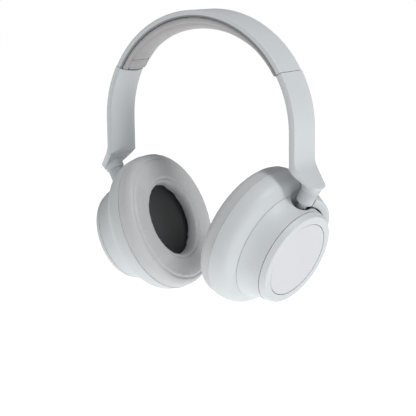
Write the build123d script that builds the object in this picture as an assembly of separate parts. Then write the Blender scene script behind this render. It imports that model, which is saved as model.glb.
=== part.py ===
from build123d import *
import os
from math import cos, degrees, radians, sin, tan

# Over ear headphones: headband, two sliding arms, two swivelling and tilting ear cups.
#
# Frame: origin on the underside of the headband pad at its top centre, +Z up,
# +X towards the right cup, -Y towards the front of the head. Millimetres.
# The right side is modelled and the left side is its mirror image in X.
# A cup is modelled in its own frame: Z along the cup's outward axis with zero on
# the dial's face, Y up and X to the back. Depths below the face are negative Z.

# Headband arc
BAND_RADIUS = 78.0
BAND_WIDTH = 26.5
BAND_DEPTH = 13.0
BAND_EDGE_ROUND = 1.0
SEAM_ANGLE = 60.0
SEAM_GAP = 0.4
BAND_SHELL_WALL = 3.3
BAND_POCKET_WIDTH = 20.0
BAND_SKIN = 1.7
PAD_END_DEPTH = 8.0
PAD_INSET = 0.3
LINER_THICKNESS = 1.1
SPRING_THICKNESS = 0.8
SPRING_WIDTH = 12.0
SPRING_ANGLE = 33.0
CABLE_RADIUS = 0.6
CABLE_OFFSET = 8.6

# Sliding rail
RAIL_WIDTH = 13.0
SCREW_BACKSET = 5.0
RAIL_THICKNESS = 1.2
RAIL_STOP_WIDTH = 15.0
RAIL_STOP_LENGTH = 3.0
RAIL_IN_BAND = 32.0
RAIL_IN_ARM = 15.0
RAIL_SEAM_RADIUS = 72.3
RAIL_TURN = 6.0
RAIL_PLAY = 0.2
RAIL_TRAVEL = 23.0
GUIDE_WALL = 0.8
GUIDE_WIDTH = 18.0
LEAF_THICKNESS = 0.4
LEAF_WIDTH = 4.0
LEAF_LENGTH = 12.0

# Arm and foot
ARM_EDGE = 4.3
ARM_DEPTH = 8.3
ARM_SKIN = 2.1
ARM_HEEL_DROP = 22.4
FOOT_REACH = 13.2
FOOT_SLOPE = 46.0
FOOT_TOE_ROUND = 1.2
FOOT_HEEL_ROUND = 10.0
FOOT_TAPER = 23.5
FOOT_SIDE_ROUND = 14.0
FOOT_TOE_WIDTH = 11.5
FOOT_CORNER = 5.5
COLLAR_RADIUS = 6.7
COLLAR_LENGTH = 3.8

# Swivel stem
STEM_TILT = 28.5
STEM_FOOT_REACH = 5.8
SLEEVE_RADIUS = 5.75
SLEEVE_LENGTH = 10.1
SHAFT_RADIUS = 4.0
CORE_RADIUS = 3.0
STEM_HEAD_RADIUS = 5.1
STEM_HEAD_THICKNESS = 1.0
BUSH_THICKNESS = 2.1
BUSH_RADIUS = 5.0
PIVOT_DEPTH = 22.9
EYE_RADIUS = 4.2
EYE_WIDTH = 7.0
CHEEK = 2.4
BRACKET_PLATE = 1.8
PIN_RADIUS = 1.5
RUNNING_FIT = 0.05
BODY_GAP = 0.3

# Ear cup, depths measured inboard from the dial's face
CUP_TILT = 21.6
REST_SWIVEL = 4.8
PIVOT_HEIGHT = 24.9
PIVOT_INBOARD = 12.6
PLATE_RADIUS = 26.5
PLATE_THICKNESS = 1.25
PLATE_RECESS = 0.25
RING_GAP = 0.5
DIAL_FACE_RADIUS = 31.6
DIAL_RADIUS = 34.0
DIAL_THICKNESS = 4.0
DIAL_EDGE = 0.9
DIAL_LIP = 1.2
DIAL_CORE_WALL = 2.0
HUB_RADIUS = 27.4
HUB_WALL = 2.4
HUB_CATCH = 0.6
HUB_CATCH_THICKNESS = 0.9
BOARD_THICKNESS = 1.0
BOARD_RADIUS = 23.0
NECK_TOP = 4.5
NECK_RADIUS = 34.2
NECK_BASE_RADIUS = 39.3
NECK_FACE = 1.7
NECK_WALL = 1.8
SEAM_GROOVE = 0.3
BELL_TOP = 19.6
BELL_RADIUS = 49.3
BELL_MOUTH = 35.0
BELL_WALL = 2.0
BELL_FRONT_WALL = 2.4
WIRE_HOLE_RADIUS = 9.0
SLOT_TOP = 6.8
SLOT_BASE = 20.6
SLOT_FRONT = 7.4
SLOT_BACK = 20.0
HOOD_INNER = 37.4
HOOD_OUTER = 43.0
HOOD_TOP = 5.2
HOOD_TILT = 17.0
HOOD_TURN = 33.0
HOOD_ROUND = 1.6
BAFFLE_TOP = 31.2
BAFFLE_THICKNESS = 1.6
BAFFLE_HOLE_RADIUS = 17.0
BOSS_RADIUS = 2.6
BOSS_CIRCLE = 38.0
BOSS_START = 35.0
CUSHION_TOP = 35.4
CUSHION_THICKNESS = 11.0
CUSHION_RADIUS = 49.1
CUSHION_OPENING = 26.0
CUSHION_ROUND = 7.0
CUSHION_INNER_ROUND = 3.5
CUSHION_RING_INNER = 30.0
CUSHION_RING_OUTER = 44.0
CUSHION_RING_DEPTH = 36.6
MESH_THICKNESS = 0.6
MESH_STANDOFF = 0.8
DRIVER_RADIUS = 20.0
DRIVER_DEPTH = 6.0
DRIVER_WALL = 1.4
MAGNET_RADIUS = 11.0
MAGNET_THICKNESS = 3.2
DIAPHRAGM_THICKNESS = 0.4
SMALL_SCREW_RADIUS = 0.6
SMALL_SCREW_LENGTH = 1.8
SCREW_RADIUS = 1.0
SCREW_HEAD_RADIUS = 1.9
SCREW_LENGTH = 8.0

# Battery, board, controls and sockets
PACK_WIDTH = 30.0
PACK_HEIGHT = 13.5
PACK_THICKNESS = 5.5
PACK_LOW = 34.0
BOARD_WIDTH = 34.0
PORT_DEPTH = 27.6
JACK_ANGLE = 172.0
JACK_BORE = 1.8
JACK_RADIUS = 3.0
JACK_LENGTH = 14.0
JACK_MOUTH_RADIUS = 44.0
USB_ANGLE = 188.0
USB_WIDTH = 9.0
USB_HEIGHT = 3.2
USB_LENGTH = 7.5
USB_WALL = 0.35
USB_MOUTH_RADIUS = 45.5
POWER_ANGLE = 138.0
MUTE_ANGLE = 155.0
BUTTON_LENGTH = 8.0
BUTTON_WIDTH = 4.0
BUTTON_STAND = 0.7
BUTTON_FLANGE = 0.8
BUTTON_FLANGE_RADIUS = 40.6

CENTRE_Z = BAND_DEPTH - BAND_RADIUS
ARC_AXIS = Axis((0, 0, CENTRE_Z), (0, 1, 0))
HALF_WIDTH = BAND_WIDTH / 2


# ---------------------------------------------------------------- helpers
def turned(outline):
    """Solid of revolution from (radius, depth) corners; depth is measured inboard."""
    corners = [(radius, 0, -depth) for radius, depth in outline]
    return revolve(make_face(Polyline(*corners, close=True)), Axis.Z, 360)


def disc(radius, top, bottom, hole=0.0):
    """Flat round plate between two depths, with an optional centre hole."""
    if hole:
        return turned([(hole, top), (radius, top), (radius, bottom), (hole, bottom)])
    return turned([(0, top), (radius, top), (radius, bottom), (0, bottom)])


def arc_bar(section, start, end):
    """Turn a section, drawn at the top of the arc, from one arc angle to another."""
    placed = section.rotate(ARC_AXIS, start)
    return revolve(placed, ARC_AXIS, end - start)


def band_section(outer, inner, width, belly=0.0):
    """Band section at the top of the arc: flat outside, flat or bellied inside."""
    half = width / 2
    top = CENTRE_Z + outer
    low = CENTRE_Z + inner
    upper = Line((0, -half, top), (0, half, top))
    lower = Line((0, half, low), (0, -half, low))
    if belly:
        lower = ThreePointArc((0, half, low), (0, 0, low - belly), (0, -half, low))
    front = Line(lower @ 1, upper @ 0)
    back = Line(upper @ 1, lower @ 0)
    return make_face([upper, back, lower, front])


def arc_point(radius, angle):
    """Point on the band's middle plane at a radius and an angle from the top."""
    return Vector(radius * sin(radians(angle)), 0, CENTRE_Z + radius * cos(radians(angle)))


def plate_along(frame, length, width, thickness, start=0.0):
    """Flat bar along the frame's Z from start, its width along the frame's Y."""
    bar = Box(thickness, width, length)
    return frame.location * Pos(0, 0, start + length / 2) * bar


def mirrored(shape):
    return mirror(shape, about=Plane.YZ)


# ---------------------------------------------------------------- places
RAIL_ANGLE = SEAM_ANGLE - RAIL_TURN
RAIL_DIRECTION = Vector(cos(radians(RAIL_ANGLE)), 0, -sin(radians(RAIL_ANGLE)))
RAIL_ORIGIN = arc_point(RAIL_SEAM_RADIUS, SEAM_ANGLE)
RAIL_FRAME = Plane(origin=RAIL_ORIGIN, x_dir=RAIL_DIRECTION.cross(Vector(0, 1, 0)), z_dir=RAIL_DIRECTION)

HEEL_Z = CENTRE_Z - ARM_HEEL_DROP
STEM_AXIS_UP = Vector(sin(radians(STEM_TILT)), 0, cos(radians(STEM_TILT)))
UNDER_HEEL = Vector(BAND_RADIUS - ARM_EDGE, 0, HEEL_Z - ARM_EDGE * tan(radians(45 - FOOT_SLOPE / 2)))
STEM_REACH = STEM_FOOT_REACH + ARM_EDGE
UNDER_FOOT = UNDER_HEEL + Vector(STEM_REACH, 0, -STEM_REACH * tan(radians(FOOT_SLOPE)))
STEM_ORIGIN = UNDER_FOOT - STEM_AXIS_UP * COLLAR_LENGTH
STEM_FRAME = Plane(origin=STEM_ORIGIN, x_dir=(0, 1, 0), z_dir=STEM_AXIS_UP)
PIVOT = STEM_ORIGIN - STEM_AXIS_UP * PIVOT_DEPTH
STEM_AXIS = Axis(PIVOT, STEM_AXIS_UP)

CUP_OUT = Vector(cos(radians(CUP_TILT)), 0, -sin(radians(CUP_TILT)))
CUP_UP = Vector(sin(radians(CUP_TILT)), 0, cos(radians(CUP_TILT)))
CUP_ORIGIN = PIVOT - CUP_UP * PIVOT_HEIGHT + CUP_OUT * PIVOT_INBOARD
CUP_NEUTRAL = Plane(origin=CUP_ORIGIN, x_dir=CUP_UP.cross(CUP_OUT), z_dir=CUP_OUT)
CHEEK_GAP = EYE_WIDTH / 2 + BODY_GAP


def in_cup(shape):
    """Place a shape from the cup's frame: tilted on the pivot, then swivelled on the stem."""
    placed = CUP_NEUTRAL.location * shape
    return placed.rotate(STEM_AXIS, -REST_SWIVEL)


def swivelled(shape):
    return shape.rotate(STEM_AXIS, -REST_SWIVEL)


# ---------------------------------------------------------------- headband
def rail_guide_block():
    """Outside of the plastic guide that the rail slides in, at the band's end."""
    thickness = RAIL_THICKNESS + 2 * (RAIL_PLAY + GUIDE_WALL)
    return plate_along(RAIL_FRAME, RAIL_IN_BAND - 1.0, GUIDE_WIDTH, thickness, -RAIL_IN_BAND)


def rail_way():
    """Space that the rail and its wide stop end need inside the band."""
    thickness = RAIL_THICKNESS + 2 * RAIL_PLAY
    width = RAIL_STOP_WIDTH + 2 * RAIL_PLAY
    return plate_along(RAIL_FRAME, RAIL_IN_BAND + 6, width, thickness, -RAIL_IN_BAND - 1)


def cut_for_rails(solid):
    for tool in (rail_guide_block(), rail_way()):
        solid -= tool
        solid -= mirrored(tool)
    return solid


def make_rail_guide():
    slot_thickness = RAIL_THICKNESS + 2 * RAIL_PLAY
    mouth_width = RAIL_WIDTH + 2 * RAIL_PLAY
    mouth = plate_along(RAIL_FRAME, RAIL_IN_BAND + 4, mouth_width, slot_thickness, -RAIL_IN_BAND - 2)
    wide_length = RAIL_TRAVEL + RAIL_STOP_LENGTH + BODY_GAP
    stop_way = plate_along(
        RAIL_FRAME, wide_length + 2, RAIL_STOP_WIDTH + 2 * RAIL_PLAY, slot_thickness, -RAIL_IN_BAND - 2
    )
    return rail_guide_block() - mouth - stop_way - detent_leaf()


def detent_leaf():
    """Leaf spring let into the guide's outer wall, over the rail's notches."""
    offset = RAIL_THICKNESS / 2 + RAIL_PLAY + GUIDE_WALL / 2
    leaf = Pos(offset, 0, -RAIL_IN_BAND / 2) * Box(LEAF_THICKNESS, LEAF_WIDTH, LEAF_LENGTH)
    return RAIL_FRAME.location * leaf


def make_headband_shell():
    section = band_section(BAND_RADIUS, BAND_RADIUS - BAND_SHELL_WALL, BAND_WIDTH)
    shell = arc_bar(section, -SEAM_ANGLE, SEAM_ANGLE)
    outer_edges = shell.edges().filter_by(GeomType.CIRCLE).sort_by(lambda edge: edge.radius)[-2:]
    shell = fillet(outer_edges, BAND_EDGE_ROUND)
    pocket = band_section(BAND_RADIUS - BAND_SKIN, BAND_RADIUS - BAND_SHELL_WALL - 1, BAND_POCKET_WIDTH)
    shell -= arc_bar(pocket, -SEAM_ANGLE + 2, SEAM_ANGLE - 2)
    return cut_for_rails(shell)


def make_headband_spring():
    outer = BAND_RADIUS - BAND_SKIN - 0.2
    section = band_section(outer, outer - SPRING_THICKNESS, SPRING_WIDTH)
    return arc_bar(section, -SPRING_ANGLE, SPRING_ANGLE)


def make_headband_cable():
    radius = BAND_RADIUS - BAND_SKIN - CABLE_RADIUS - 0.1
    centre = Vector(0, CABLE_OFFSET, CENTRE_Z + radius)
    section = Plane(origin=centre, z_dir=(1, 0, 0)) * Circle(CABLE_RADIUS)
    reach = SPRING_ANGLE
    return arc_bar(section, -reach, reach)


def make_headband_liner():
    outer = BAND_RADIUS - BAND_SHELL_WALL
    section = band_section(outer, outer - LINER_THICKNESS, BAND_WIDTH - 2 * PAD_INSET)
    liner = arc_bar(section, -SEAM_ANGLE, SEAM_ANGLE)
    return cut_for_rails(liner)


def make_headband_pad():
    """Bulged pad, deepest at the top centre and thinner towards the seams."""
    outer = BAND_RADIUS - BAND_SHELL_WALL - LINER_THICKNESS
    edge = outer - 2.2
    width = BAND_WIDTH - 2 * PAD_INSET
    deep_belly = edge - (BAND_RADIUS - BAND_DEPTH)
    end_belly = edge - (BAND_RADIUS - PAD_END_DEPTH)
    steps = [(-SEAM_ANGLE, end_belly), (-SEAM_ANGLE / 2, (deep_belly * 2 + end_belly) / 3), (0, deep_belly)]
    steps += [(-angle, belly) for angle, belly in reversed(steps[:-1])]
    sections = []
    for angle, belly in steps:
        section = band_section(outer, edge, width, belly=belly)
        sections.append(section.rotate(ARC_AXIS, angle))
    pad = loft_along(sections)
    return cut_for_rails(pad - make_headband_liner())


def loft_along(sections):
    return loft([section.faces()[0] for section in sections])


def band_screws():
    """Two small screws in each rail guide, up into the shell."""
    lift = RAIL_THICKNESS / 2 + RAIL_PLAY + GUIDE_WALL
    solids = []
    for sideways in (-1, 1):
        place = Pos(lift, sideways * (GUIDE_WIDTH / 2 - 1.2), SCREW_BACKSET - RAIL_IN_BAND)
        body = place * Rot(0, 90, 0) * Cylinder(SMALL_SCREW_RADIUS, SMALL_SCREW_LENGTH)
        solids.append(RAIL_FRAME.location * body)
    return solids


# ---------------------------------------------------------------- arms
def slope_fall(reach):
    """How far the foot's outer face drops over a sideways reach."""
    return reach * tan(radians(FOOT_SLOPE))


def arm_face(skin=None):
    """Side outline of the arm, seam to toe; with a skin it stops that deep inside."""
    top_angle = SEAM_ANGLE + degrees(SEAM_GAP / BAND_RADIUS)
    depth = ARM_EDGE if skin is None else skin
    outer_x = BAND_RADIUS
    inner_x = BAND_RADIUS - depth
    toe = Vector(outer_x + FOOT_REACH, 0, HEEL_Z - slope_fall(FOOT_REACH))
    inward = Vector(-sin(radians(FOOT_SLOPE)), 0, -cos(radians(FOOT_SLOPE)))
    low_toe = toe + inward * depth
    heel = Vector(inner_x, 0, HEEL_Z - depth * tan(radians(45 - FOOT_SLOPE / 2)))
    rounds = [FOOT_HEEL_ROUND, FOOT_TOE_ROUND, 0.01 if skin else FOOT_TOE_ROUND, FOOT_HEEL_ROUND]
    start = Vector(outer_x, 0, CENTRE_Z)
    end = Vector(inner_x, 0, CENTRE_Z)
    outer_heel = Vector(outer_x, 0, HEEL_Z)
    lower = FilletPolyline(start, outer_heel, toe, low_toe, heel, end, radius=rounds)
    middle = (top_angle + 90) / 2
    outer_top = arc_point(outer_x, top_angle)
    inner_top = arc_point(inner_x, top_angle)
    outer_arc = ThreePointArc(outer_top, arc_point(outer_x, middle), start)
    inner_arc = ThreePointArc(end, arc_point(inner_x, middle), inner_top)
    return make_face([outer_arc, *lower.edges(), inner_arc, Line(inner_top, outer_top)])


def below_foot(rise=0):
    """Space below the foot's underside, or that far above it."""
    slope = Vector(cos(radians(FOOT_SLOPE)), 0, -sin(radians(FOOT_SLOPE)))
    under = Plane(origin=UNDER_HEEL, x_dir=slope, z_dir=slope.cross(Vector(0, 1, 0)))
    return under.location * Pos(0, 0, rise - 20) * Box(80, BAND_WIDTH * 2, 40)


def arm_belly():
    """Rounded inner side of the arm, flush with the foot's underside at its lower end."""
    top_angle = SEAM_ANGLE + degrees(SEAM_GAP / BAND_RADIUS)
    outer = BAND_RADIUS - ARM_EDGE + 0.5
    section = band_section(outer, outer - 0.5, BAND_WIDTH, belly=ARM_DEPTH - ARM_EDGE)
    belly = arc_bar(section, top_angle, 90)
    belly += extrude(section.rotate(ARC_AXIS, 90), amount=ARM_HEEL_DROP + 10, dir=(0, 0, -1))
    return belly - below_foot()


def toe_corners():
    """What is cut away to taper the foot in plan and round its toe."""
    slope = Vector(cos(radians(FOOT_SLOPE)), 0, -sin(radians(FOOT_SLOPE)))
    toe = Vector(BAND_RADIUS + FOOT_REACH, 0, HEEL_Z - slope_fall(FOOT_REACH))
    frame = Plane(origin=toe, x_dir=slope, z_dir=slope.cross(Vector(0, -1, 0)))
    half_toe = FOOT_TOE_WIDTH / 2
    side = HALF_WIDTH + 0.02
    run = (side - half_toe) / tan(radians(FOOT_TAPER))
    outline = FilletPolyline(
        Vector(-run - 20, -side),
        Vector(-run, -side),
        Vector(0, -half_toe),
        Vector(0, half_toe),
        Vector(-run, side),
        Vector(-run - 20, side),
        radius=[FOOT_SIDE_ROUND, FOOT_CORNER, FOOT_CORNER, FOOT_SIDE_ROUND],
    )
    kept = make_face([*outline.edges(), Line(outline @ 1, outline @ 0)])
    around = Pos(3 - run / 2, 0, 0) * Box(run + 14, BAND_WIDTH + 10, 30)
    return frame.location * (around - extrude(kept, amount=30, both=True))


def stem_collar():
    """Round boss under the foot that holds the stem's bush."""
    boss = stem_turned([
        (0, -COLLAR_LENGTH - 3),
        (COLLAR_RADIUS, -COLLAR_LENGTH - 3),
        (COLLAR_RADIUS, -0.5),
        (COLLAR_RADIUS - 0.5, 0),
        (0, 0),
    ])
    return boss & below_foot(rise=1)


def stem_turned(outline):
    """Turned about the stem; depth runs from the foot's underside towards the cup."""
    return STEM_FRAME.location * turned(outline)


def stem_ways():
    """Room in the foot for the stem's head, its bush and the top of its sleeve."""
    head_top = -BUSH_THICKNESS - 0.6 - STEM_HEAD_THICKNESS - 2 * BODY_GAP
    ways = stem_turned([
        (0, head_top),
        (STEM_HEAD_RADIUS + BODY_GAP, head_top),
        (STEM_HEAD_RADIUS + BODY_GAP, -BUSH_THICKNESS - 0.6),
        (BUSH_RADIUS, -BUSH_THICKNESS - 0.6),
        (BUSH_RADIUS, -0.6),
        (SLEEVE_RADIUS + 0.4, -0.6),
        (SLEEVE_RADIUS + 0.4, 20),
        (0, 20),
    ])
    return ways


def rail_bar():
    return plate_along(RAIL_FRAME, RAIL_IN_BAND + RAIL_IN_ARM, RAIL_WIDTH, RAIL_THICKNESS, -RAIL_IN_BAND)


def make_slider_rail():
    """Steel rail with a wider end that stops against the guide's mouth."""
    stop = plate_along(RAIL_FRAME, RAIL_STOP_LENGTH, RAIL_STOP_WIDTH, RAIL_THICKNESS, -RAIL_IN_BAND)
    rail = rail_bar() + stop
    for body in arm_screws():
        rail -= body
    return rail


def arm_screws():
    """Two screws that clamp the rail between the arm's shell and liner."""
    solids = []
    for distance in (RAIL_IN_ARM * 0.35, RAIL_IN_ARM * 0.75):
        place = Pos(0, 0, distance) * Rot(0, 90, 0)
        body = place * Cylinder(SCREW_RADIUS, SMALL_SCREW_LENGTH * 2)
        solids.append(RAIL_FRAME.location * body)
    return solids


def arm_skin():
    return extrude(arm_face(ARM_SKIN), amount=HALF_WIDTH, both=True, dir=(0, 1, 0))


def make_arm_shell():
    shell = arm_skin() - toe_corners()
    shell -= rail_bar()
    shell -= stem_ways()
    for body in arm_screws():
        shell -= body
    return shell


def make_arm_liner():
    liner = extrude(arm_face(), amount=HALF_WIDTH, both=True, dir=(0, 1, 0))
    liner += arm_belly()
    liner -= toe_corners()
    liner += stem_collar()
    liner -= arm_skin()
    liner -= rail_bar()
    liner -= stem_ways()
    for body in arm_screws():
        liner -= body
    return liner


def make_stem_bush():
    bore = SHAFT_RADIUS + RUNNING_FIT
    low = -0.6
    return stem_turned([
        (bore, low - BUSH_THICKNESS),
        (BUSH_RADIUS, low - BUSH_THICKNESS),
        (BUSH_RADIUS, low),
        (bore, low),
    ])


# ---------------------------------------------------------------- stem
def pivot_cylinder(radius, width):
    """Cylinder on the tilt axis, in world coordinates before the rest swivel."""
    frame = Plane(origin=PIVOT, x_dir=(1, 0, 0), z_dir=(0, 1, 0))
    return frame.location * Cylinder(radius, width)


def make_stem():
    """Turned steel post: head in the foot, shaft, visible sleeve, core and pin eye."""
    head_low = -0.6 - BUSH_THICKNESS - BODY_GAP
    head_top = head_low - STEM_HEAD_THICKNESS
    post = stem_turned([
        (0, head_top),
        (STEM_HEAD_RADIUS, head_top),
        (STEM_HEAD_RADIUS, head_low),
        (SHAFT_RADIUS, head_low),
        (SHAFT_RADIUS, -0.3),
        (SLEEVE_RADIUS, -0.3),
        (SLEEVE_RADIUS, SLEEVE_LENGTH - 1.0),
        (SLEEVE_RADIUS - 1.0, SLEEVE_LENGTH),
        (CORE_RADIUS, SLEEVE_LENGTH),
        (CORE_RADIUS, PIVOT_DEPTH),
        (0, PIVOT_DEPTH),
    ])
    post += pivot_cylinder(EYE_RADIUS, EYE_WIDTH)
    post -= pivot_cylinder(PIN_RADIUS + RUNNING_FIT, EYE_WIDTH * 3)
    return swivelled(post)


# ---------------------------------------------------------------- ear cup mechanism
def make_tilt_pin():
    width = 2 * (CHEEK_GAP + CHEEK)
    return swivelled(pivot_cylinder(PIN_RADIUS, width))


def make_pivot_bracket():
    """Cast bracket with two cheeks for the tilt pin and a plate on the bell's front wall."""
    half = CHEEK_GAP + CHEEK
    low = PIVOT_HEIGHT - EYE_RADIUS - 1.6
    back = BELL_TOP
    front = PIVOT_INBOARD - EYE_RADIUS
    bracket = Part()
    for side in (-1, 1):
        middle = side * (CHEEK_GAP + CHEEK / 2)
        height = PIVOT_HEIGHT - low
        cheek = Pos(middle, low + height / 2, -(front + back) / 2) * Box(CHEEK, height, back - front)
        tip = Pos(middle, PIVOT_HEIGHT, -PIVOT_INBOARD) * Rot(0, 90, 0) * Cylinder(EYE_RADIUS, CHEEK)
        bracket += cheek + tip
    base = Pos(0, low - 1.2, -(front + back) / 2) * Box(2 * half, 2.4, back - front)
    plate_height = low - 4
    plate_place = Pos(0, 4 + plate_height / 2, -(back - BRACKET_PLATE / 2))
    plate = plate_place * Box(2 * half + 5, plate_height, BRACKET_PLATE)
    bracket += base + plate
    bracket -= Pos(0, PIVOT_HEIGHT, -PIVOT_INBOARD) * Rot(0, 90, 0) * Cylinder(PIN_RADIUS, half * 3)
    return in_cup(bracket)


# ---------------------------------------------------------------- housings
def profile_curve(points):
    return Spline(*[(radius, 0, -depth) for radius, depth in points])


def turned_curve(curve):
    """Solid between a curve, the cup's axis and flat faces at the curve's ends."""
    start = curve @ 0
    end = curve @ 1
    axis_start = Vector(0, 0, start.Z)
    axis_end = Vector(0, 0, end.Z)
    outline = [curve, Line(end, axis_end), Line(axis_end, axis_start), Line(axis_start, start)]
    return revolve(make_face(outline), Axis.Z, 360)


def neck_solid(wall=0.0, top=NECK_TOP, base=BELL_TOP):
    """Flaring round neck, or the hollow inside it when a wall is given."""
    span = base - top
    swell = NECK_BASE_RADIUS - NECK_RADIUS
    return turned_curve(profile_curve([
        (NECK_RADIUS - wall, top),
        (NECK_RADIUS + swell * 0.16 - wall, top + span * 0.33),
        (NECK_RADIUS + swell * 0.5 - wall, top + span * 0.7),
        (NECK_BASE_RADIUS - wall, base),
    ]))


def bell_solid(inset=0.0, drop=0.0):
    """Bell's outer form; the hollow inside it is inset in radius and starts lower."""
    span = BELL_MOUTH - BELL_TOP
    swell = BELL_RADIUS - NECK_BASE_RADIUS
    depth = span - drop
    top = BELL_TOP + drop
    return turned_curve(profile_curve([
        (NECK_BASE_RADIUS - inset, top),
        (NECK_BASE_RADIUS + swell * 0.36 - inset, top + depth * 0.11),
        (NECK_BASE_RADIUS + swell * 0.66 - inset, top + depth * 0.24),
        (NECK_BASE_RADIUS + swell * 0.88 - inset, top + depth * 0.5),
        (BELL_RADIUS - inset, BELL_MOUTH),
    ]))


def stem_notch():
    """Opening round the stem, with room for the cup to tilt about its pin."""
    middle = -(SLOT_TOP + SLOT_BASE) / 2
    top = Vector(0, PIVOT_HEIGHT, -SLOT_TOP)
    base = Vector(0, PIVOT_HEIGHT, -SLOT_BASE)
    outline = [
        ThreePointArc(base, Vector(-SLOT_FRONT, PIVOT_HEIGHT, middle), top),
        ThreePointArc(top, Vector(SLOT_FRONT, PIVOT_HEIGHT, middle), base),
    ]
    return extrude(make_face(outline), amount=BELL_RADIUS, dir=(0, 1, 0))


def stem_slot():
    """The notch round the stem with its narrow tail behind, between neck and hood."""
    middle = -(SLOT_TOP + SLOT_BASE) / 2
    top_start = Vector(0, PIVOT_HEIGHT, -SLOT_TOP)
    tail = Vector(SLOT_BACK, PIVOT_HEIGHT, -SLOT_TOP - 2.5)
    base_back = Vector(SLOT_FRONT, PIVOT_HEIGHT, middle - 2)
    middle_start = Vector(0, PIVOT_HEIGHT, middle - 2)
    outline = Polyline(top_start, tail, base_back, middle_start, close=True)
    return stem_notch() + extrude(make_face(outline), amount=BELL_RADIUS, dir=(0, 1, 0))


def stem_hood():
    """Lip of the bell that rises behind the stem and sinks into the bell further round."""
    rim = HOOD_OUTER - HOOD_ROUND
    base = BELL_TOP + 7
    outline = [
        Line((HOOD_INNER, 0, 0), (rim, 0, 0)),
        TangentArc((rim, 0, 0), (HOOD_OUTER, 0, -HOOD_ROUND * 1.3), tangent=(1, 0, 0)),
        Line((HOOD_OUTER, 0, -HOOD_ROUND * 1.3), (HOOD_OUTER + 1.5, 0, -base)),
        Line((HOOD_OUTER + 1.5, 0, -base), (HOOD_INNER, 0, -base)),
        Line((HOOD_INNER, 0, -base), (HOOD_INNER, 0, 0)),
    ]
    ring = revolve(make_face(outline), Axis.Z, 360)
    drop = HOOD_TOP + HOOD_OUTER * tan(radians(HOOD_TILT))
    tilted = Pos(0, 0, -drop) * Rot(0, 0, -HOOD_TURN) * Rot(HOOD_TILT, 0, 0) * ring
    behind = Pos(SLOT_FRONT + 50, 25, -15) * Box(100, 130, 40)
    lip = tilted & behind
    return lip - neck_solid() - disc(NECK_BASE_RADIUS, BELL_TOP, 60)


def boss_places():
    for step in range(4):
        angle = radians(BOSS_START + 90 * step)
        yield BOSS_CIRCLE * sin(angle), BOSS_CIRCLE * cos(angle)


def neck_housing():
    """Neck shell with the face under the dial and the hub that the dial turns on."""
    neck = neck_solid(base=BELL_TOP)
    neck -= neck_solid(wall=NECK_WALL, top=NECK_TOP + NECK_FACE)
    groove = neck_solid(base=BELL_TOP) - disc(60, 0, BELL_TOP - SEAM_GROOVE)
    neck -= groove - disc(NECK_BASE_RADIUS - 0.8, 0, 60)
    hub_top = PLATE_RECESS + PLATE_THICKNESS
    neck += disc(HUB_RADIUS, hub_top, NECK_TOP)
    neck += disc(HUB_RADIUS + HUB_CATCH, hub_top, hub_top + HUB_CATCH_THICKNESS)
    neck -= disc(HUB_RADIUS - HUB_WALL, 0, NECK_TOP + NECK_FACE)
    return neck - stem_slot()


def make_neck_housing():
    return in_cup(neck_housing())


def bell_housing():
    """Bell shell with its front wall, wire hole, screw bosses and relief for the stem."""
    hollow = bell_solid(inset=BELL_WALL * 0.85, drop=BELL_FRONT_WALL)
    bell = bell_solid() + stem_hood() - hollow
    for x, y in boss_places():
        height = BAFFLE_TOP - BELL_TOP - 1
        boss = Pos(x, y, -BAFFLE_TOP + height / 2) * Cylinder(BOSS_RADIUS, height)
        bell += boss & bell_solid()
    bell -= disc(WIRE_HOLE_RADIUS, 0, BAFFLE_TOP)
    for body in baffle_screws():
        bell -= body
    return bell - stem_notch()


def make_bell_housing():
    return in_cup(bell_housing())


def port_place(angle, depth=PORT_DEPTH):
    """Frame looking out of the bell's side: Z radial, X along the cup's axis."""
    direction = Vector(sin(radians(angle)), cos(radians(angle)), 0)
    return Plane(origin=Vector(0, 0, -depth), x_dir=(0, 0, 1), z_dir=direction).location


def port_ways():
    """Holes through the right bell for the sockets and the two buttons."""
    jack = port_place(JACK_ANGLE) * Pos(0, 0, 50) * Cylinder(JACK_RADIUS, 30)
    usb = port_place(USB_ANGLE) * Pos(0, 0, 50) * Box(USB_HEIGHT, USB_WIDTH, 30)
    ways = jack + usb
    for angle in (POWER_ANGLE, MUTE_ANGLE):
        slot = Box(BUTTON_WIDTH + 2 * BODY_GAP, BUTTON_LENGTH + 2 * BODY_GAP, 30)
        ways += port_place(angle) * Pos(0, 0, 55) * slot
    return ways


def make_right_bell():
    return in_cup(bell_housing() - port_ways())


def baffle_screws():
    """Four countersunk screws from the ear side into the bell's bosses."""
    low = BAFFLE_TOP + BAFFLE_THICKNESS
    solids = []
    for x, y in boss_places():
        body = turned([
            (0, low - SCREW_LENGTH),
            (SCREW_RADIUS, low - SCREW_LENGTH),
            (SCREW_RADIUS, low - 1),
            (SCREW_HEAD_RADIUS, low),
            (0, low),
        ])
        solids.append(Pos(x, y, 0) * body)
    return solids


def make_baffle_screws():
    return [in_cup(body) for body in baffle_screws()]


def make_baffle():
    """Round plate across the bell's mouth that carries the driver and the cushion ring."""
    plate = disc(BELL_RADIUS, BAFFLE_TOP, BAFFLE_TOP + BAFFLE_THICKNESS, hole=BAFFLE_HOLE_RADIUS)
    plate &= bell_solid(inset=BELL_WALL * 0.85, drop=BELL_FRONT_WALL)
    for body in baffle_screws():
        plate -= body
    return in_cup(plate)


# ---------------------------------------------------------------- cushion
def cushion_ring():
    top = BAFFLE_TOP + BAFFLE_THICKNESS
    return disc(CUSHION_RING_OUTER, top, CUSHION_RING_DEPTH, hole=CUSHION_RING_INNER)


def make_cushion_ring():
    return in_cup(cushion_ring())


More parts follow.
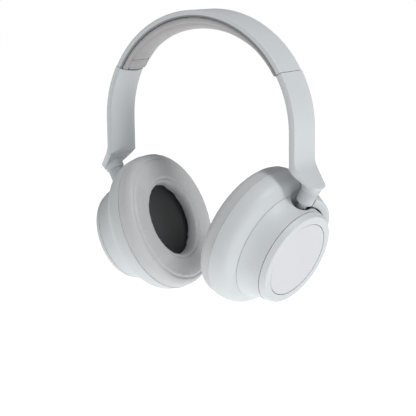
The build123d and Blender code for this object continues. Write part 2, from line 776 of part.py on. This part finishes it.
def make_ear_cushion():
    """Plain ring of padding: fully rounded outside, softer inside, seated on the bell."""
    low = CUSHION_TOP + CUSHION_THICKNESS
    corners = [
        (CUSHION_RADIUS, CUSHION_TOP),
        (CUSHION_RADIUS, low),
        (CUSHION_OPENING, low),
        (CUSHION_OPENING, CUSHION_TOP),
    ]
    points = [Vector(radius, 0, -depth) for radius, depth in corners]
    rim = FilletPolyline(*points, radius=[CUSHION_ROUND, CUSHION_INNER_ROUND])
    ring = revolve(make_face([*rim.edges(), Line(points[3], points[0])]), Axis.Z, 360)
    return in_cup(ring - cushion_ring() - disc(CUSHION_RING_INNER, 0, CUSHION_RING_DEPTH))


def make_mesh_cover():
    top = BAFFLE_TOP + BAFFLE_THICKNESS + MESH_STANDOFF
    return in_cup(disc(CUSHION_RING_INNER, top, top + MESH_THICKNESS))


# ---------------------------------------------------------------- driver
def make_driver_frame():
    top = BAFFLE_TOP - DRIVER_DEPTH
    return in_cup(turned([
        (MAGNET_RADIUS - 4, top),
        (MAGNET_RADIUS + 2, top),
        (DRIVER_RADIUS, top + DRIVER_DEPTH / 2),
        (DRIVER_RADIUS, BAFFLE_TOP),
        (DRIVER_RADIUS - DRIVER_WALL, BAFFLE_TOP),
        (DRIVER_RADIUS - DRIVER_WALL, top + DRIVER_DEPTH / 2 + 0.8),
        (MAGNET_RADIUS + 1, top + DRIVER_WALL),
        (MAGNET_RADIUS - 4, top + DRIVER_WALL),
    ]))


def make_driver_magnet():
    low = BAFFLE_TOP - DRIVER_DEPTH
    return in_cup(disc(MAGNET_RADIUS, low - MAGNET_THICKNESS, low))


def make_driver_diaphragm():
    """Domed film with a flat surround inside the driver frame's rim."""
    edge = DRIVER_RADIUS - DRIVER_WALL
    low = BAFFLE_TOP - 0.3
    top = low - DIAPHRAGM_THICKNESS
    return in_cup(turned([
        (0, top - 1.4),
        (edge * 0.4, top - 0.8),
        (edge * 0.5, top),
        (edge, top),
        (edge, low),
        (edge * 0.48, low),
        (edge * 0.38, low - 0.8),
        (0, low - 1.4),
    ]))


# ---------------------------------------------------------------- touch plate and dial
def make_touch_plate():
    return in_cup(disc(PLATE_RADIUS, PLATE_RECESS, PLATE_RECESS + PLATE_THICKNESS))


def make_touch_board():
    top = PLATE_RECESS + PLATE_THICKNESS
    return in_cup(disc(BOARD_RADIUS, top, top + BOARD_THICKNESS))


def core_radius():
    return HUB_RADIUS + HUB_CATCH + BODY_GAP + 0.2


def make_dial_ring():
    """Outer dial: flat face, rounded edge and a slightly flared side for the fingers."""
    inner = PLATE_RADIUS + RING_GAP
    bore = core_radius() + DIAL_CORE_WALL
    edge_radius = DIAL_FACE_RADIUS + (DIAL_RADIUS - DIAL_FACE_RADIUS) * 0.45
    face_edge = Vector(DIAL_FACE_RADIUS, 0, 0)
    side_edge = Vector(edge_radius, 0, -DIAL_EDGE)
    bend = TangentArc(face_edge, side_edge, tangent=(1, 0, 0))
    corners = [(DIAL_RADIUS, DIAL_THICKNESS), (bore, DIAL_THICKNESS), (bore, DIAL_LIP)]
    corners += [(inner, DIAL_LIP), (inner, 0)]
    points = [side_edge] + [Vector(radius, 0, -depth) for radius, depth in corners] + [face_edge]
    return in_cup(revolve(make_face([bend, *Polyline(*points).edges()]), Axis.Z, 360))


def make_dial_core():
    """Inner dial ring: runs on the hub and is held behind the hub's catch."""
    bore = HUB_RADIUS + RUNNING_FIT
    shelf = PLATE_RECESS + PLATE_THICKNESS + HUB_CATCH_THICKNESS + BODY_GAP
    outer = core_radius() + DIAL_CORE_WALL
    return in_cup(turned([
        (core_radius(), DIAL_LIP),
        (outer, DIAL_LIP),
        (outer, DIAL_THICKNESS),
        (bore, DIAL_THICKNESS),
        (bore, shelf),
        (core_radius(), shelf),
    ]))


# ---------------------------------------------------------------- electronics
def make_battery():
    """Flat pouch cell low in the left cup."""
    top = BELL_TOP + BELL_FRONT_WALL + BODY_GAP
    place = Pos(0, -PACK_LOW + PACK_HEIGHT / 2, -top - PACK_THICKNESS / 2)
    return in_cup(place * Box(PACK_WIDTH, PACK_HEIGHT, PACK_THICKNESS))


def make_main_board():
    """Circuit board on the right bell's front wall, with its larger chips."""
    top = BELL_TOP + BELL_FRONT_WALL
    place = Pos(0, -PACK_LOW + PACK_HEIGHT / 2, -top - BOARD_THICKNESS / 2)
    board = place * Box(BOARD_WIDTH - 4, PACK_HEIGHT, BOARD_THICKNESS)
    for offset in (-8, 0, 8):
        board += Pos(offset, -PACK_LOW + PACK_HEIGHT / 2 + 2, -top - BOARD_THICKNESS - 0.3) * Box(5, 5, 0.8)
    return in_cup(board)


def make_audio_jack():
    barrel = Pos(0, 0, JACK_MOUTH_RADIUS - JACK_LENGTH / 2) * Cylinder(JACK_RADIUS, JACK_LENGTH)
    barrel -= Pos(0, 0, JACK_MOUTH_RADIUS) * Cylinder(JACK_BORE, 2 * JACK_LENGTH + 10)
    return in_cup(port_place(JACK_ANGLE) * barrel)


def make_usb_port():
    """Flat metal receptacle with its contact tongue."""
    middle = Pos(0, 0, USB_MOUTH_RADIUS - USB_LENGTH / 2)
    shell = middle * Box(USB_HEIGHT, USB_WIDTH, USB_LENGTH)
    room = Box(USB_HEIGHT - 2 * USB_WALL, USB_WIDTH - 2 * USB_WALL, USB_LENGTH)
    shell -= middle * Pos(0, 0, USB_WALL) * room
    shell += middle * Pos(0, 0, -0.5) * Box(0.7, USB_WIDTH * 0.7, USB_LENGTH - 1)
    return in_cup(port_place(USB_ANGLE) * shell)


def make_button(angle):
    """Oblong key that follows the bell's surface, with a flange that keeps it in."""
    foot = BUTTON_FLANGE_RADIUS - BUTTON_FLANGE
    stalk = Pos(0, 0, foot + 8) * Box(BUTTON_WIDTH, BUTTON_LENGTH, 16)
    place = port_place(angle)
    grown = bell_solid(inset=-BUTTON_STAND)
    key = (place * stalk) & grown
    flange = Box(BUTTON_WIDTH + 1.6, BUTTON_LENGTH + 1.6, BUTTON_FLANGE)
    key += place * Pos(0, 0, foot + BUTTON_FLANGE / 2) * flange
    return in_cup(key)


# ---------------------------------------------------------------- build
def solids_of(result):
    bodies = result if isinstance(result, list) else [result]
    return [solid for body in bodies for solid in body.solids()]


def write(name, result):
    solids = solids_of(result)
    shape = solids[0] if len(solids) == 1 else Compound(children=solids)
    shape.label = name
    export_step(shape, f"parts/{name}.step")


def write_pair(name, result):
    write("right_" + name, result)
    write("left_" + name, [mirrored(solid) for solid in solids_of(result)])


def main():
    os.makedirs("parts", exist_ok=True)
    screws = band_screws()
    screws += [mirrored(body) for body in screws]
    shell = make_headband_shell()
    guide = make_rail_guide()
    for body in screws:
        shell -= body
    for body in band_screws():
        guide -= body
    write("headband_shell", shell)
    write("headband_spring", make_headband_spring())
    write("headband_liner", make_headband_liner())
    write("headband_pad", make_headband_pad())
    write("headband_cable", make_headband_cable())
    write("band_screws", screws)
    write("detent_springs", [detent_leaf(), mirrored(detent_leaf())])
    write_pair("rail_guide", guide)
    write_pair("arm_shell", make_arm_shell())
    write_pair("arm_liner", make_arm_liner())
    write_pair("slider_rail", make_slider_rail())
    write_pair("arm_screws", arm_screws())
    write_pair("stem_bush", make_stem_bush())
    write_pair("stem", make_stem())
    write_pair("tilt_pin", make_tilt_pin())
    write_pair("pivot_bracket", make_pivot_bracket())
    write_pair("neck_housing", make_neck_housing())
    write_pair("baffle", make_baffle())
    write_pair("baffle_screws", make_baffle_screws())
    write_pair("cushion_ring", make_cushion_ring())
    write_pair("ear_cushion", make_ear_cushion())
    write_pair("mesh_cover", make_mesh_cover())
    write_pair("driver_frame", make_driver_frame())
    write_pair("driver_magnet", make_driver_magnet())
    write_pair("driver_diaphragm", make_driver_diaphragm())
    write_pair("touch_plate", make_touch_plate())
    write_pair("touch_board", make_touch_board())
    write_pair("dial_ring", make_dial_ring())
    write_pair("dial_core", make_dial_core())
    write("left_bell_housing", mirrored(make_bell_housing()))
    write("left_battery", mirrored(make_battery()))
    write("right_bell_housing", make_right_bell())
    write("right_main_board", make_main_board())
    write("right_audio_jack", make_audio_jack())
    write("right_usb_port", make_usb_port())
    write("right_power_button", make_button(POWER_ANGLE))
    write("right_mute_button", make_button(MUTE_ANGLE))


main()
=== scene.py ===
import math
import bpy
import bmesh
from mathutils import Matrix, Vector


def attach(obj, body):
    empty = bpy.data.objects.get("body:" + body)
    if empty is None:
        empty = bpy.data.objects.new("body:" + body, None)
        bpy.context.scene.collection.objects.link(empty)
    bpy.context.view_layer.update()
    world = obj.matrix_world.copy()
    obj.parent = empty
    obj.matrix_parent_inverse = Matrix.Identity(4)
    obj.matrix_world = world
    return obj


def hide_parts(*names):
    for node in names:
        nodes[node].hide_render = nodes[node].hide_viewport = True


# Over ear headphones in pale grey, with both cups turned and tilted a little.
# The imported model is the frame; soft pieces are remade round it, in metres, in the same frame.
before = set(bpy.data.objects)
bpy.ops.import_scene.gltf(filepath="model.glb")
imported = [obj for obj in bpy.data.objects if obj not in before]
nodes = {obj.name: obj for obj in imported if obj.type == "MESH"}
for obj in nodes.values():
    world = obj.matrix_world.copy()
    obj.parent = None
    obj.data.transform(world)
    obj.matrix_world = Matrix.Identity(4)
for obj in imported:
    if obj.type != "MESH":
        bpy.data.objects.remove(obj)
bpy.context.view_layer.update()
scene = bpy.context.scene


# ---------------------------------------------------------------- camera and studio
# A long lens from the front right, a little above the cups, as a product picture is taken.
camera_data = bpy.data.cameras.new("camera")
camera_data.sensor_width = 36.0
camera_data.lens = 102.1
camera_data.clip_start = 0.05
camera = bpy.data.objects.new("camera", camera_data)
scene.collection.objects.link(camera)
camera_right = Vector((0.8184, 0.5745, -0.0132))
camera_up = Vector((-0.1037, 0.1702, 0.9799))
camera_back = camera_right.cross(camera_up)
camera_axes = Matrix((camera_right, camera_up, camera_back)).transposed()
camera.matrix_world = Matrix.Translation((0.4642, -0.6573, 0.0397)) @ camera_axes.to_4x4()
scene.camera = camera
scene.view_settings.view_transform = "Standard"


def add_node(tree, kind, inputs=None, **settings):
    """Add a shader node with its settings; an input is a value or another node's socket."""
    added = tree.nodes.new(kind)
    for name, value in settings.items():
        setattr(added, name, value)
    for socket, value in (inputs or {}).items():
        if isinstance(value, bpy.types.NodeSocket):
            tree.links.new(value, added.inputs[socket])
        else:
            added.inputs[socket].default_value = value
    return added


# White surround that lights more softly than it looks, so that the shapes keep their shading.
world = bpy.data.worlds.new("studio")
scene.world = world
world.use_nodes = True
surround = world.node_tree.nodes["Background"]
surround.inputs["Color"].default_value = (1.0, 1.0, 1.0, 1.0)
seen = add_node(world.node_tree, "ShaderNodeLightPath").outputs["Is Camera Ray"]
level = add_node(world.node_tree, "ShaderNodeMix", {"Factor": seen, "A": 0.3, "B": 1.0})
world.node_tree.links.new(level.outputs["Result"], surround.inputs["Strength"])


def soft_lamp(name, place, target, width, power):
    lamp_data = bpy.data.lights.new(name, "AREA")
    lamp_data.shape = "DISK"
    lamp_data.size = width
    lamp_data.energy = power
    lamp = bpy.data.objects.new(name, lamp_data)
    lamp.location = place
    lamp.rotation_euler = (Vector(target) - Vector(place)).to_track_quat("-Z", "Y").to_euler()
    scene.collection.objects.link(lamp)


cups_centre = (0.0, 0.0, -0.08)
soft_lamp("key_lamp", (1.0, -0.1, 0.95), cups_centre, 0.28, 8.8)
soft_lamp("top_lamp", (-0.2, -0.3, 1.4), cups_centre, 0.9, 2.6)

bpy.ops.object.select_all(action="DESELECT")
bpy.ops.mesh.primitive_plane_add(size=8.0, location=(0.0, 0.0, -0.262))
floor = bpy.context.object
floor.name = "floor"
white_sweep = bpy.data.materials.new("white paper sweep")
white_sweep.use_nodes = True
paper = white_sweep.node_tree.nodes["Principled BSDF"]
paper.inputs["Base Color"].default_value = (0.9, 0.9, 0.9, 1.0)
paper.inputs["Roughness"].default_value = 0.9
paper.inputs["Emission Color"].default_value = (1.0, 1.0, 1.0, 1.0)
paper.inputs["Emission Strength"].default_value = 0.72
floor.data.materials.append(white_sweep)


# ---------------------------------------------------------------- headband shell
# Curved upper half of the band: moulded polycarbonate with a soft-touch coat.
# It is screwed to the rail guides inside it.
def linear(hex_colour):
    """Linear colour from an sRGB hex value."""
    parts = [int(hex_colour[i:i + 2], 16) / 255 for i in (1, 3, 5)]
    low = [part / 12.92 for part in parts]
    high = [((part + 0.055) / 1.055) ** 2.4 for part in parts]
    return tuple(l if part <= 0.04045 else h for part, l, h in zip(parts, low, high)) + (1.0,)


def new_material(name):
    """A material with its tree, its shader and the piece's own coordinates."""
    material = bpy.data.materials.new(name)
    material.use_nodes = True
    tree = material.node_tree
    place = add_node(tree, "ShaderNodeTexCoord").outputs["Object"]
    return material, tree, tree.nodes["Principled BSDF"], place


def mottle(tree, place, scale, hex_one, hex_two):
    """A slow change between two near colours, as a coat or a moulding has."""
    noise = add_node(tree, "ShaderNodeTexNoise", {"Vector": place, "Scale": scale, "Detail": 3.0})
    mixed = add_node(tree, "ShaderNodeMix", {
        "Factor": noise.outputs["Fac"], "A": linear(hex_one), "B": linear(hex_two)}, data_type="RGBA")
    return mixed.outputs["Result"]


def relief(tree, shader, height, strength, distance):
    bump = add_node(tree, "ShaderNodeBump", {"Height": height, "Strength": strength, "Distance": distance})
    tree.links.new(bump.outputs["Normal"], shader.inputs["Normal"])


def coated(name, hex_dark, hex_light, roughness, grain=1500.0):
    """Painted or moulded plastic with a fine even grain."""
    material, tree, shader, place = new_material(name)
    tree.links.new(mottle(tree, place, 30.0, hex_dark, hex_light), shader.inputs["Base Color"])
    fine = add_node(tree, "ShaderNodeTexNoise", {"Vector": place, "Scale": grain, "Detail": 2.0})
    relief(tree, shader, fine.outputs["Fac"], 0.12, 0.0001)
    worn = add_node(tree, "ShaderNodeTexNoise", {"Vector": place, "Scale": 55.0, "Detail": 4.0})
    spread = add_node(tree, "ShaderNodeMapRange", {
        "Value": worn.outputs["Fac"], "To Min": roughness - 0.05, "To Max": roughness + 0.05})
    tree.links.new(spread.outputs["Result"], shader.inputs["Roughness"])
    return material


def dress(material, *names):
    """Give CAD nodes one material in their own slots."""
    for name in names:
        mesh = nodes[name].data
        mesh.materials.clear()
        mesh.materials.append(material)


def both(*names):
    return [side + "_" + name for name in names for side in ("right", "left")]


# Soft-touch polyurethane paint in warm silver grey: matte, with a slight sheen at grazing angles.
soft_touch = coated("soft-touch paint on polycarbonate", "#c8cdcf", "#cfd4d6", 0.48)
dress(soft_touch, "headband_shell")


# ---------------------------------------------------------------- headband spring
# Flat spring steel strip that clamps the cups to the head, held between shell and liner.
def drawn_metal(name, hex_dark, hex_light, roughness, stretch):
    """Bare metal with a fine drawn line along one direction."""
    material, tree, shader, place = new_material(name)
    lines = add_node(tree, "ShaderNodeMapping", {"Vector": place, "Scale": stretch})
    tree.links.new(
        mottle(tree, lines.outputs["Vector"], 1.0, hex_dark, hex_light), shader.inputs["Base Color"])
    grain = add_node(tree, "ShaderNodeTexNoise", {
        "Vector": lines.outputs["Vector"], "Scale": 1.0, "Detail": 4.0})
    relief(tree, shader, grain.outputs["Fac"], 0.15, 0.0001)
    shader.inputs["Metallic"].default_value = 1.0
    shader.inputs["Roughness"].default_value = roughness
    return material


# Cold-rolled spring steel, blued by its heat treatment and lightly oiled.
spring_steel = drawn_metal("blued spring steel", "#6f757d", "#8b9199", 0.32, (60.0, 2500.0, 60.0))
dress(spring_steel, "headband_spring")


# ---------------------------------------------------------------- headband liner
# Thin moulded tray between the shell and the pad.
# Moulded ABS with a fine spark-eroded grain; its grey, much darker than the coat, is painted shade for the
# underside between shell and pad.
liner_grey_painted_shade = coated("moulded ABS, grey darkened as painted shade", "#8b8d90", "#929497", 0.58, 2200.0)
dress(liner_grey_painted_shade, "headband_liner")


# ---------------------------------------------------------------- headband pad
# Foam pad in a synthetic leather cover, fullest at the top of the head, seated on the liner.
# Its cover has a seam along each edge and a curved seam near each end.
def leather(name, hex_dark, hex_light, roughness):
    """Soft polyurethane leather: pebbled grain, shallow creases and a faint sheen."""
    material, tree, shader, place = new_material(name)
    tree.links.new(mottle(tree, place, 60.0, hex_dark, hex_light), shader.inputs["Base Color"])
    pebble = add_node(tree, "ShaderNodeTexVoronoi", {"Vector": place, "Scale": 950.0}, feature="SMOOTH_F1")
    crease = add_node(tree, "ShaderNodeTexNoise", {
        "Vector": place, "Scale": 140.0, "Detail": 3.0, "Distortion": 1.2})
    height = add_node(tree, "ShaderNodeMix", {
        "Factor": 0.45, "A": pebble.outputs["Distance"], "B": crease.outputs["Fac"]})
    relief(tree, shader, height.outputs["Result"], 0.35, 0.0004)
    shader.inputs["Roughness"].default_value = roughness
    shader.inputs["Sheen Weight"].default_value = 0.15
    return material


def select_only(piece):
    bpy.ops.object.select_all(action="DESELECT")
    piece.select_set(True)
    bpy.context.view_layer.objects.active = piece


def apply_modifier(piece, modifier):
    select_only(piece)
    bpy.ops.object.modifier_apply(modifier=modifier.name)


def stuffed(name, node, voxel, levels, swell, body):
    """A padded copy of a node: remeshed, blown up as cloth, each point kept within swell(place)."""
    mesh = nodes[node].data.copy()
    mesh.materials.clear()
    piece = bpy.data.objects.new(name, mesh)
    scene.collection.objects.link(piece)
    merged = bmesh.new()
    merged.from_mesh(mesh)
    bmesh.ops.remove_doubles(merged, verts=merged.verts, dist=0.00001)
    merged.to_mesh(mesh)
    merged.free()
    remesh = piece.modifiers.new("even mesh", "REMESH")
    remesh.mode = "VOXEL"
    remesh.voxel_size = voxel
    apply_modifier(piece, remesh)
    settle = piece.modifiers.new("settle", "SMOOTH")
    settle.iterations = 2
    apply_modifier(piece, settle)
    start = [vertex.co.copy() for vertex in piece.data.vertices]
    cloth = piece.modifiers.new("cover", "CLOTH")
    cloth.settings.use_pressure = True
    cloth.settings.uniform_pressure_force = 4.0
    cloth.settings.effector_weights.gravity = 0.0
    cloth.point_cache.frame_start = 1
    cloth.point_cache.frame_end = 20
    for step in range(1, 21):
        scene.frame_set(step)
    apply_modifier(piece, cloth)
    scene.frame_set(1)
    for vertex, before in zip(piece.data.vertices, start):
        move = vertex.co - before
        limit = swell(before)
        vertex.co = before + move * min(1.0, limit / max(move.length, 1e-9))
    finer = piece.modifiers.new("finer", "SUBSURF")
    finer.levels = levels
    finer.render_levels = levels
    apply_modifier(piece, finer)
    for face in piece.data.polygons:
        face.use_smooth = True
    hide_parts(node)
    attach(piece, body)
    return piece


def sew(piece, away, width, depth):
    """Press a sewn channel into a piece; away(place) is the distance from the seam."""
    normals = [vertex.normal.copy() for vertex in piece.data.vertices]
    for vertex, normal in zip(piece.data.vertices, normals):
        near = math.exp(-(away(vertex.co) / width) ** 2)
        if near > 0.01:
            vertex.co -= normal * (depth * near)


band_middle = -0.065
band_inside = 0.0705


def band_place(place):
    """Angle from the top in degrees, and radius, of a point on the band."""
    rise = place.z - band_middle
    return math.degrees(math.atan2(place.x, rise)), math.hypot(place.x, rise)


def pad_swell(place):
    angle, radius = band_place(place)
    free = min(1.0, max(0.0, (band_inside - radius) / 0.003))
    ends = min(1.0, max(0.0, (58.0 - abs(angle)) / 6.0))
    return 0.0009 * free * ends


def end_seam(place):
    angle, radius = band_place(place)
    curve = 51.0 + 3.0 * (place.y / 0.012) ** 2
    return abs(abs(angle) - curve) * math.radians(1.0) * radius + max(0.0, radius - band_inside)


def edge_seam(place):
    angle, radius = band_place(place)
    along = max(0.0, abs(angle) - 56.0) * 0.001
    return abs(abs(place.y) - 0.0105) + max(0.0, radius - band_inside) + along


# Grey protein leather over foam, a warmer grey than the plastic.
pad_voxel = 0.0012
guide_cover = 0.0005
pad_cover = leather("grey synthetic leather, pad", "#a19fa0", "#aba9aa", 0.6)
headband_pad = stuffed("headband_pad_cover", "headband_pad", pad_voxel, 1, pad_swell, "headband")
for vertex in headband_pad.data.vertices:
    angle, radius = band_place(vertex.co)
    over_guide = min(1.0, max(0.0, (abs(angle) - 46.0) / 6.0))
    if radius < band_inside:
        inward = Vector((-vertex.co.x, 0.0, band_middle - vertex.co.z)) / radius
        vertex.co += inward * (guide_cover * over_guide)
sew(headband_pad, end_seam, 0.0009, 0.0008)
sew(headband_pad, edge_seam, 0.0008, 0.0006)
headband_pad.data.materials.append(pad_cover)


# ---------------------------------------------------------------- cable between the cups
# Round cable that runs along the band.
# Black thermoplastic rubber sheath.
rubber = coated("black thermoplastic rubber", "#1f2022", "#28292c", 0.68, 2600.0)
dress(rubber, "headband_cable")


# ---------------------------------------------------------------- band and arm screws
# Small pan screws: four hold the guides in the band, two clamp each rail in its arm.
# Zinc-plated steel, slightly dull.
plated_steel = drawn_metal("zinc-plated steel screw", "#9a9ca0", "#b0b2b6", 0.38, (900.0, 900.0, 900.0))
dress(plated_steel, "band_screws", *both("arm_screws"))


# ---------------------------------------------------------------- detent springs and rail guides
# Leaf springs that click against the rails, seated in the guides screwed into the band.
# Blued spring steel, as the band's own spring, in dark glass-filled nylon.
dark_nylon = coated("glass-filled nylon, dark grey", "#2f3133", "#393b3e", 0.6, 1800.0)
dress(spring_steel, "detent_springs")
dress(dark_nylon, *both("rail_guide"))


# ---------------------------------------------------------------- slider rails
# Flat steel rails fixed in the arms; they slide in and out of the band.
# Stainless steel, brushed along its length.
brushed_steel = drawn_metal("brushed stainless steel", "#b4b6b9", "#cccdd0", 0.3, (1400.0, 1400.0, 40.0))
dress(brushed_steel, *both("slider_rail"))


# ---------------------------------------------------------------- arms
# Each arm is an inner moulding with a coated outer skin over it, split by a fine line on its edge.
# It ends in the tapered foot and the round collar that hold the stem.
# The inner moulding wears the shell's paint a little darker, as painted shade for the arms' inner sides.
dress(coated("soft-touch paint, inner moulding, painted shade", "#c2c7c9", "#c9ced0", 0.52), *both("arm_liner"))
dress(soft_touch, *both("arm_shell"))


# ---------------------------------------------------------------- stems
# Turned steel posts in a flanged bush; the cup swivels on the post and tilts on the pin at its foot.
# The post wears the same grey as the shell, the bush is bare brass and the pin bare steel.
dress(coated("grey lacquer on steel", "#b9bcc0", "#c2c5c9", 0.4, 1200.0), *both("stem"))
dress(drawn_metal("turned brass", "#a88a4e", "#c2a468", 0.3, (700.0, 700.0, 700.0)), *both("stem_bush"))
dress(brushed_steel, *both("tilt_pin"))


# ---------------------------------------------------------------- pivot brackets
# Nylon brackets with two cheeks that carry the tilt pins, on the bells' front walls.
dress(dark_nylon, *both("pivot_bracket"))


# ---------------------------------------------------------------- cup housings
# Round neck and flared bell, the two halves of each cup, meeting at the fine seam.
dress(soft_touch, *both("neck_housing", "bell_housing"))


# ---------------------------------------------------------------- dials and touch plates
# The dial ring turns round a fixed touch plate; its core runs on the neck inside.
# The plate is smoother than the shell, so that a finger slides on it.
touch_finish = coated("satin lacquer on touch plate", "#c9cbcf", "#cfd1d5", 0.42, 2400.0)
dress(soft_touch, *both("dial_ring"))
dress(dark_nylon, *both("dial_core"))
dress(touch_finish, *both("touch_plate"))


# ---------------------------------------------------------------- buttons
# Two short-travel keys on the right cup, moulded in the shell's colour.
dress(soft_touch, "right_power_button", "right_mute_button")


# ---------------------------------------------------------------- boards and battery
# Touch board under each plate, main board in the right cup and foil battery in the left.
# Fibreglass board with green solder mask over a faint grid of copper tracks.
board, board_tree, board_shader, board_place = new_material("green solder mask on fibreglass")
tracks = add_node(board_tree, "ShaderNodeTexBrick", {
    "Vector": board_place, "Scale": 160.0, "Color1": linear("#14522e"), "Color2": linear("#185c35"),
    "Mortar": linear("#2a7a49"), "Mortar Size": 0.03})
board_tree.links.new(tracks.outputs["Color"], board_shader.inputs["Base Color"])
relief(board_tree, board_shader, tracks.outputs["Fac"], 0.2, 0.0001)
board_shader.inputs["Roughness"].default_value = 0.32
dress(board, *both("touch_board"), "right_main_board")

# Aluminium laminate pouch, a little crinkled.
foil, foil_tree, foil_shader, foil_place = new_material("aluminium laminate foil")
foil_tree.links.new(
    mottle(foil_tree, foil_place, 90.0, "#b9bbbf", "#cacccf"), foil_shader.inputs["Base Color"])
crinkle = add_node(foil_tree, "ShaderNodeTexNoise", {"Vector": foil_place, "Scale": 260.0, "Detail": 5.0})
relief(foil_tree, foil_shader, crinkle.outputs["Fac"], 0.3, 0.0004)
foil_shader.inputs["Metallic"].default_value = 0.8
foil_shader.inputs["Roughness"].default_value = 0.35
dress(foil, "left_battery")


# ---------------------------------------------------------------- sockets
# Headphone jack in dark nylon and a plated socket for charging, both in the right cup.
dress(dark_nylon, "right_audio_jack")
dress(plated_steel, "right_usb_port")


# ---------------------------------------------------------------- drivers
# Magnet and diaphragm in a moulded frame behind the baffle, which four screws hold to the bell.
# The diaphragm is thin smoked polyester film with pressed ripples.
film, film_tree, film_shader, film_place = new_material("smoked polyester film")
film_tree.links.new(
    mottle(film_tree, film_place, 120.0, "#2b2926", "#37342f"), film_shader.inputs["Base Color"])
ripple = add_node(film_tree, "ShaderNodeTexWave", {"Vector": film_place, "Scale": 220.0}, wave_type="RINGS")
relief(film_tree, film_shader, ripple.outputs["Fac"], 0.15, 0.0002)
film_shader.inputs["Roughness"].default_value = 0.22
dress(film, *both("driver_diaphragm"))
dress(dark_nylon, *both("baffle", "driver_frame", "cushion_ring"))
dress(brushed_steel, *both("driver_magnet"))
dress(plated_steel, *both("baffle_screws"))


# ---------------------------------------------------------------- speaker cloths
# Tight woven cloth stretched over the driver.
# Charcoal polyester in a plain weave.
cloth_finish, cloth_tree, cloth_shader, cloth_place = new_material("charcoal woven polyester")
thread_scale = {"Vector": cloth_place, "Scale": 420.0}
warp = add_node(cloth_tree, "ShaderNodeTexWave", thread_scale, bands_direction="Y")
weft = add_node(cloth_tree, "ShaderNodeTexWave", thread_scale, bands_direction="Z")
weave = add_node(cloth_tree, "ShaderNodeMath", {
    0: warp.outputs["Fac"], 1: weft.outputs["Fac"]}, operation="MULTIPLY")
threads = add_node(cloth_tree, "ShaderNodeMix", {
    "Factor": weave.outputs["Value"], "A": linear("#1b1c1e"), "B": linear("#4a4c50")}, data_type="RGBA")
cloth_tree.links.new(threads.outputs["Result"], cloth_shader.inputs["Base Color"])
relief(cloth_tree, cloth_shader, weave.outputs["Value"], 0.6, 0.0003)
cloth_shader.inputs["Roughness"].default_value = 0.85
cloth_shader.inputs["Sheen Weight"].default_value = 0.3
dress(cloth_finish, *both("mesh_cover"))


# ---------------------------------------------------------------- ear cushions
# Foam rings in synthetic leather, stretched over a clip-on ring on the bell.
# A sewn channel runs round the face and another round the opening.
cushion_cover = leather("grey synthetic leather, cushion", "#bcbebf", "#c5c7c8", 0.5)
cup_centre = Vector((0.073532, -0.001297, -0.150751))
cup_out = Vector((0.92672, -0.08307, -0.36646))
cup_back = Vector((0.07354, 0.99649, -0.03993))
cup_up = Vector((0.36849, 0.01005, 0.92958))
cushion_top = 0.0354
cushion_thickness = 0.011
cushion_radius = 0.0491
outer_seam_radius = 0.0445
inner_seam_radius = 0.0292
seam_depth = 0.0007
pucker_count = 44


def cup_place(place, side):
    """Depth from the dial's face, radius and angle from the top of a point on a cup."""
    offset = Vector((place.x * side, place.y, place.z)) - cup_centre
    across = offset.dot(cup_back)
    rise = offset.dot(cup_up)
    return -offset.dot(cup_out), math.hypot(across, rise), math.atan2(across, rise)


cushion_voxel = 0.0024
cushion_swell_limit = 0.0011
rim_zone = 0.004
rim_lift = 0.0004
pucker_height = 0.00012
channel_width = 0.0009


def make_cushion(side_name, side):
    """Blow up one ear cushion, fill its back rim out to the bell and sew its two channels."""
    def swell(place):
        depth = cup_place(place, side)[0]
        free = min(1.0, max(0.0, (depth - cushion_top - 0.002) / 0.005))
        return cushion_swell_limit * free

    def face_seam(seam_radius):
        def away(place):
            depth, radius, _ = cup_place(place, side)
            back = max(0.0, cushion_top + cushion_thickness * 0.55 - depth)
            return abs(radius - seam_radius) + back
        return away

    name = side_name + "_cushion_cover"
    cushion = stuffed(name, side_name + "_ear_cushion", cushion_voxel, 2, swell, side_name + "_cup")
    for vertex in cushion.data.vertices:
        depth, radius, turn = cup_place(vertex.co, side)
        tucked = min(1.0, max(0.0, (cushion_top + 0.0035 - depth) / 0.002))
        if radius > cushion_radius - rim_zone:
            spoke = cup_up * math.cos(turn) + cup_back * math.sin(turn)
            outward = spoke * ((cushion_radius - radius) * tucked) + cup_out * (rim_lift * tucked)
            vertex.co += Vector((outward.x * side, outward.y, outward.z))
        beside = math.exp(-((radius - inner_seam_radius - 0.002) / 0.003) ** 2)
        beside += math.exp(-((radius - outer_seam_radius + 0.002) / 0.003) ** 2)
        if depth > cushion_top + cushion_thickness * 0.6:
            inward = cup_out * (pucker_height * beside * (1.0 + math.sin(turn * pucker_count)))
            vertex.co += Vector((inward.x * side, inward.y, inward.z))
    sew(cushion, face_seam(outer_seam_radius), channel_width, seam_depth)
    sew(cushion, face_seam(inner_seam_radius), channel_width, seam_depth)
    cushion.data.materials.append(cushion_cover)


for side_name, side in (("right", 1), ("left", -1)):
    make_cushion(side_name, side)
